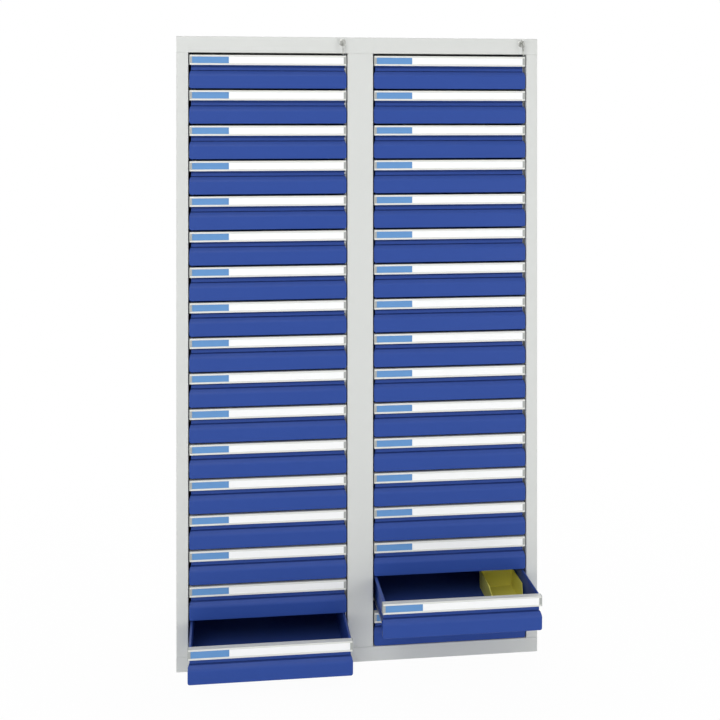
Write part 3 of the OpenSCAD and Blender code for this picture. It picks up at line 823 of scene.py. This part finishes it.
# %% Folded front
slope_back = GRIP - GROOVE
face = start_box("front", (-FRONT_HALF, 0, FRONT_LIFT), (FRONT_HALF, slope_back, FACE_TOP))
round_corners()
pick("EDGE", on("z", FACE_TOP), on("y", slope_back))
move(0, 0, SLOPE_END - FACE_TOP)
cut("y", SWELL_Y)
swell_z = FACE_TOP + (SLOPE_END - FACE_TOP) * SWELL_Y / slope_back
pick("VERT", on("y", SWELL_Y), on("z", swell_z))
move(0, 0, SWELL)
draw_in(swell_z + SWELL, SWELL_CUT * END_CUT)
draw_in(SLOPE_END, END_CUT)
pick("FACE", on("y", slope_back))
bpy.ops.mesh.delete(type="FACE")
pick("EDGE", folded, on("y", 0), on("z", FACE_TOP))
bend(GRIP_BEND, segments=5)
pick("EDGE", folded, on("y", 0))
bend(EDGE_BEND)
face_out((0, -1, 0), on("y", 0))
face = close_form(face, sheet=FRONT_SHEET)
print("front", len(face.data.polygons), "faces")

# %% [markdown]
# ## Drawer tray
# The tray is a box without its top. Its side walls roll over outwards along their upper edges,
# which stiffens them and covers the runners. A roll could be a separate tube, but then a seam
# would show, so each rolled edge is three short extrusions of the wall's own top edge.

# %% Tray
TRAY_HALF, TRAY_END = HALF - 12 * MM, 470 * MM
TRAY_SHEET, TRAY_BEND = 0.9 * MM, 1.3 * MM
HEM_W, HEM_H, HEM_TUCK = 5.5 * MM, 6 * MM, 0.4
FLOOR_LOW, WALL_TOP = 7 * MM, RAIL_TOP - 1 * MM
BACK_TOP = WALL_TOP - HEM_H
tray = start_box("tray", (-TRAY_HALF, GRIP + FRONT_SHEET + GAP, FLOOR_LOW),
                 (TRAY_HALF, TRAY_END, WALL_TOP))
pick("FACE", on("z", WALL_TOP))
bpy.ops.mesh.delete(type="FACE")
pick("FACE", on("y", TRAY_END))
bpy.ops.mesh.delete(type="FACE")
pick("EDGE", on("y", TRAY_END), on("z", FLOOR_LOW))
pull(0, 0, BACK_TOP - FLOOR_LOW)
for side in (-1, 1):
    pick("EDGE", on("x", side * TRAY_HALF), on("z", WALL_TOP))
    pull(side * HEM_W, 0, 0)
    pull(0, 0, -HEM_H)
    pull(-side * HEM_W * HEM_TUCK, 0, 0)
pick("EDGE", folded, along("y"))
bend(TRAY_BEND)
face_out((0, 0, -1), on("z", FLOOR_LOW))
tray = close_form(tray, sheet=TRAY_SHEET)

# %% [markdown]
# A plate as wide as the front closes the grip from behind and holds the rail. In front of it, just
# over the slope, stands a narrow ledge of thin sheet, and the groove between ledge and slope stays
# dark. The plate could be pulled out into the ledge, but a folded line gives its round edges at
# once.

# %% Plate behind the front
PLATE_TOP = RAIL_TOP - 1.6 * MM
plate = start_box("plate", (-FRONT_HALF, GRIP, FRONT_LIFT),
                  (FRONT_HALF, GRIP + FRONT_SHEET, PLATE_TOP))
round_corners()
cut("z", FACE_TOP)
cut("z", SLOPE_TOP)
draw_in(SLOPE_TOP, END_CUT)
draw_in(PLATE_TOP, END_CUT)
plate = close_form(plate, soften=0.2 * MM, segments=1)
print("plate", len(plate.data.polygons), "faces")

# %% Ledge in the grip
LEDGE_LOW, LEDGE_TOP, LEDGE_DEEP, LEDGE_LEAN = 52.5 * MM, RAIL_Z - 5 * MM, 5 * MM, 1 * MM
LEDGE_SHEET, LEDGE_BEND = 0.6 * MM, 0.8 * MM
ledge_half = FRONT_HALF - END_CUT
section = [(GRIP - GAP, LEDGE_TOP), (GRIP - LEDGE_DEEP + LEDGE_LEAN, LEDGE_TOP),
           (GRIP - LEDGE_DEEP, LEDGE_LOW), (GRIP - GAP, LEDGE_LOW)]
ledge = start_line("ledge", *[(-ledge_half, y, z) for y, z in section])
pull(2 * ledge_half, 0, 0)
pick("EDGE", folded, along("x"))
bend(LEDGE_BEND, segments=2)
face_out((0, -1, 0), lambda face: abs(face.normal.y) > 0.5)
ledge = close_form(ledge, sheet=LEDGE_SHEET)
tray = join("tray", [tray, plate, ledge])
print("tray", len(tray.data.polygons), "faces")

# %% [markdown]
# ## Handle and label rail
# The rail is an extrusion: the same section from end to end. So its section is drawn once as a
# closed line, filled, and pulled along X. A window between two lips holds the cards, the lower lip
# turns back under the hand, and the top runs back over the tray's front plate.

# %% Rail
LIP, WINDOW, RAIL_WALL, RAIL_UNDER = 5 * MM, 2 * MM, 1.5 * MM, 6 * MM
CAP_T, CAP_W = 1.5 * MM, 8 * MM
WINDOW_LOW, WINDOW_HIGH = RAIL_Z + LIP + GAP, RAIL_TOP - LIP - GAP
web, rail_back = WINDOW + RAIL_WALL, GRIP + FRONT_SHEET
rail_half = FRONT_HALF - CAP_T - GAP
section = [(0, RAIL_Z), (0, RAIL_Z + LIP), (WINDOW, RAIL_Z + LIP), (WINDOW, RAIL_TOP - LIP),
           (0, RAIL_TOP - LIP), (0, RAIL_TOP), (rail_back, RAIL_TOP),
           (rail_back, RAIL_TOP - RAIL_WALL), (web, RAIL_TOP - RAIL_WALL),
           (web, RAIL_Z + RAIL_WALL), (RAIL_UNDER, RAIL_Z + RAIL_WALL), (RAIL_UNDER, RAIL_Z)]
rail = start_line("rail", *[(-rail_half, y, z) for y, z in section], closed=True)
pull(2 * rail_half, 0, 0)
face_out((0, 0, 1), on("z", RAIL_TOP))
rail = close_form(rail, soften=0.5 * MM)
print("rail", len(rail.data.polygons), "faces")

# %% [markdown]
# Two cards fill the rail's window: a blue one at the left end and a white one beside it. Each is a
# thin box. Its front face is inset and then sunk, so that the clear strip's edge stands all round.

# %% Cards
LABEL_HALF = FRONT_HALF - CAP_W
INDEX_W = 103 * MM
CARD_FRONT, CARD_BACK = 0.9 * MM, 1.9 * MM
STRIP_EDGE, STRIP_SUNK = 0.8 * MM, 0.15 * MM


def strip(name, low_x, high_x):
    """A card under a clear strip: the strip's edge stands a little proud all round."""
    piece = start_box(name, (low_x, CARD_FRONT, WINDOW_LOW), (high_x, CARD_BACK, WINDOW_HIGH))
    pick("FACE", on("y", CARD_FRONT))
    bpy.ops.mesh.inset(thickness=STRIP_EDGE)
    move(0, STRIP_SUNK, 0)
    return close_form(piece)


index = strip("index_card", -LABEL_HALF, -LABEL_HALF + INDEX_W - GAP)
label = strip("label_card", -LABEL_HALF + INDEX_W, LABEL_HALF)
print("label", round((2 * LABEL_HALF - INDEX_W) / MM), "mm long")

# %% [markdown]
# A moulded cap closes each end of the rail. Seen from above it is an L: a thin cheek over the end
# and an arm that fills the end of the window. Two boxes would leave a seam, so the L is filled and
# pulled up between the rail's lips, and then the cheek alone goes on to the rail's full height.

# %% End caps
outer, inner, arm = -FRONT_HALF, -FRONT_HALF + CAP_T, -FRONT_HALF + CAP_W - GAP
plan = [(outer, GRIP - GAP), (outer, 0), (arm, 0), (arm, WINDOW - GAP), (inner, WINDOW - GAP),
        (inner, GRIP - GAP)]
cap = start_line("end_caps", *[(x, y, WINDOW_LOW) for x, y in plan], closed=True)
pull(0, 0, WINDOW_HIGH - WINDOW_LOW)
cut("x", inner)
for level, end in ((WINDOW_LOW, RAIL_Z), (WINDOW_HIGH, RAIL_TOP)):
    pick("FACE", on("z", level), between("x", outer, inner))
    pull(0, 0, end - level)
face_out((-1, 0, 0), on("x", outer))
cap = close_form(cap, soften=0.5 * MM, both_sides=True)
print("end caps", len(cap.data.polygons), "faces")

# %% [markdown]
# ## Running gear of a drawer
# An angle on each side of the tray rests on the front roller, and a nylon roller behind it runs in
# the channel on a stub axle. A small bent catch on the right stops against the locking bar. The
# bent parts are lines again and the round ones are spun, so all that is needed is here already.

# %% Angles, stub axles and catch
ANGLE_X, ANGLE_W, ANGLE_LOW, ANGLE_TOP = -HALF + 11.9 * MM, 6.2 * MM, 9 * MM, 28.1 * MM
ANGLE_Y = 23 * MM
REAR_ROLLER = Vector((ROLLER_X, 457.8 * MM, 15.7 * MM))
REAR_ROLLER_R = 8.2 * MM
CATCH_X, CATCH_Y, CATCH_Z = HALF - 5 * MM, 30 * MM, 44 * MM
CATCH_LEN, CATCH_HIGH = 16 * MM, 8 * MM
angle = start_line("angle", (ANGLE_X - ANGLE_W, ANGLE_Y, ANGLE_TOP), (ANGLE_X, ANGLE_Y, ANGLE_TOP),
                   (ANGLE_X, ANGLE_Y, ANGLE_LOW))
pull(0, TRAY_END - ANGLE_Y, 0)
pick("EDGE", folded)
bend(RUNNER_BEND)
face_out((0, 0, 1), on("z", ANGLE_TOP))
angle = close_form(angle, sheet=RUNNER_SHEET, both_sides=True)
stub_low, stub_high = ROLLER_X - ROLLER_PLAY, ANGLE_X - RUNNER_SHEET
section = [(stub_low, 0), (stub_low, AXLE_R), (stub_high, AXLE_R), (stub_high, 0)]
stub = start_line("stub", *[Vector((x, REAR_ROLLER.y, REAR_ROLLER.z + r)) for x, r in section])
turn(REAR_ROLLER, (1, 0, 0), SPIN_STEPS)
stub = close_form(stub, both_sides=True)
catch = start_line("catch", (CATCH_X, CATCH_Y, CATCH_Z), (-ANGLE_X, CATCH_Y, CATCH_Z),
                   (-ANGLE_X, CATCH_Y + CATCH_LEN, CATCH_Z))
pull(0, 0, CATCH_HIGH)
pick("EDGE", folded)
bend(RUNNER_BEND)
face_out((0, -1, 0), on("y", CATCH_Y))
catch = close_form(catch, sheet=RUNNER_SHEET)
gear = join("running_gear", [angle, stub, catch])
rear_wheel = roller("rear_wheels", REAR_ROLLER, REAR_ROLLER_R)
print("running gear", len(gear.data.polygons), "faces")

# %% [markdown]
# ## Thirty-four drawers
# All drawers are alike, so the patterns are copied to each drawer's place. The place comes from the
# frame, which also knows which two drawers stand open. Every copy rides on its own drawer's body.

# %% Set the drawers in
PATTERNS = {"front": (face, "drawer_paint"), "tray": (tray, "drawer_paint"),
            "rail": (rail, "rail_aluminium"), "index": (index, "index_card"),
            "label": (label, "label_card"), "caps": (cap, "cap_plastic"),
            "gear": (gear, "zinc_steel"), "wheels": (rear_wheel, "roller_nylon")}
for node, (low, high) in DRAWERS.items():
    place = Vector(((low.x + high.x) / 2, low.y, low.z - FRONT_LIFT))
    for part, (pattern, slot) in PATTERNS.items():
        dress(copy_to(pattern, node + "_" + part, place), slot, node, node)
drawer_faces = sum(len(pattern.data.polygons) for pattern, slot in PATTERNS.values())
for pattern, slot in PATTERNS.values():
    bpy.data.objects.remove(pattern)
print(len(DRAWERS), "drawers of", drawer_faces, "faces")

# %% [markdown]
# ## Locks and keys
# Small turned and stamped parts already have their right shape in the frame. A copy of each has its
# loose triangles merged and its flat faces cleaned, and then a narrow bevel softens its edges, so
# that they catch the light. They could be drawn anew, but that would only repeat the same lines.

# %% Softened copies
FLAT = math.radians(1)


def soften(node, body, slot, width):
    """A merged and bevelled copy of a frame piece, which then stands for it."""
    bpy.ops.object.select_all(action="DESELECT")
    piece = bpy.data.objects.new(node + "_soft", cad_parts[node].data.copy())
    bpy.context.collection.objects.link(piece)
    piece.select_set(True)
    bpy.context.view_layer.objects.active = piece
    bpy.ops.object.mode_set(mode="EDIT")
    bpy.ops.mesh.select_all(action="SELECT")
    bpy.ops.mesh.customdata_custom_splitnormals_clear()
    bpy.ops.mesh.remove_doubles(threshold=SAME_SPOT)
    bpy.ops.mesh.dissolve_limited(angle_limit=FLAT)
    close_form(piece, soften=width)
    return dress(piece, slot, body, node)


for hand in ("left", "right"):
    soften("lock_plug_" + hand, "lock_" + hand, "nickel_steel", width=0.25 * MM)
    soften("key_" + hand, "lock_" + hand, "nickel_steel", width=0.3 * MM)
    soften("lock_cam_" + hand, "lock_" + hand, "zinc_steel", width=0.2 * MM)
    soften("key_ring_" + hand, "ring_" + hand, "nickel_steel", width=0)
    soften("spare_key_" + hand, "spare_" + hand, "nickel_steel", width=0.3 * MM)
    soften("locking_bar_" + hand, "bar_" + hand, "zinc_steel", width=0.2 * MM)
soften("lock_nuts", "cabinet", "zinc_steel", width=0.4 * MM)
soften("bar_guides", "cabinet", "zinc_steel", width=0.15 * MM)
print("softened copies made")

# %% [markdown]
# The housing is the tube that the plug turns in, and its rim covers the edge of the hole. It is
# round all over, so it is spun from half its section, where two short slopes break the rim's edge.

# %% Lock housings
PLUG_BORE, RIM_T = 6.05 * MM, 2 * MM
TUBE_R = LOCK_R - 0.05 * MM
rim_edge = [(-RIM_T, 8.2 * MM), (-RIM_T + 0.5 * MM, RIM - 0.6 * MM), (-RIM_T + 1.1 * MM, RIM)]
section = [(-RIM_T, PLUG_BORE), *rim_edge, (0, RIM), (0, TUBE_R), (LOCK_LEN, TUBE_R),
           (LOCK_LEN, PLUG_BORE), (-RIM_T, PLUG_BORE)]
housings = []
for place in LOCKS:
    housing = start_line("housing", *[place + Vector((0, y, r)) for y, r in section])
    turn(place, (0, 1, 0), steps=2 * SPIN_STEPS)
    housings.append(close_form(housing))
dress(join("lock_rims", housings), "nickel_steel", "cabinet", "lock_housings")
print("lock rims", round(2 * RIM / MM), "mm across")

# %% [markdown]
# ## Loose bin
# The bin is moulded: thin walls, rounded corners and a low front that the sides slope down to. The
# front is narrower than the back, and the sides lean in towards the floor, so that it leaves its
# mould. It could be carved out of a block, but here the block loses its top and Solidify gives the
# wall, so the inside follows the outside all round. A loop cut just below the top keeps the walls'
# shading even up to their softened edge. The frame's bin has a narrow rim along its sides. It is
# left off here, and the walls stand where they do under it.

# %% Bin
bin_low, bin_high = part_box("open_bin")
BIN_RIM, BIN_WALL, BIN_BEND, BIN_LOOP = 1 * MM, 2.2 * MM, 4 * MM, 3 * MM
BIN_LIP, BIN_SLOPE, BIN_DRAFT, BIN_NARROW = 22 * MM, 38 * MM, 0.985, 8 * MM
bin_left, bin_right = bin_low.x + BIN_RIM, bin_high.x - BIN_RIM
bin_body = start_box("yellow_bin", (bin_left, bin_low.y, bin_low.z),
                     (bin_right, bin_high.y, bin_high.z))
cut("y", bin_low.y + BIN_SLOPE)
for side, x in ((1, bin_left), (-1, bin_right)):
    pick("VERT", on("x", x), on("y", bin_low.y))
    move(side * BIN_NARROW, 0, 0)
pick("EDGE", on("y", bin_low.y), on("z", bin_high.z))
move(0, 0, BIN_LIP - (bin_high.z - bin_low.z))
pick("VERT", on("z", bin_low.z))
bpy.ops.transform.resize(value=(BIN_DRAFT, 1, 1),
                         center_override=((bin_left + bin_right) / 2, 0, 0))
pick("FACE", lambda face: face.normal.z > 0.5)
bpy.ops.mesh.delete(type="FACE")
pick("EDGE", folded)
bend(BIN_BEND, segments=4)
face_out((0, -1, 0), on("y", bin_low.y))
close_form(bin_body, sheet=BIN_WALL)
bpy.ops.object.mode_set(mode="EDIT")
cut("z", bin_high.z - BIN_LOOP)
close_form(bin_body, soften=0.4 * MM)
dress(bin_body, "bin_plastic", "drawer_right_16", "open_bin")
print("bin", len(bin_body.data.polygons), "faces")
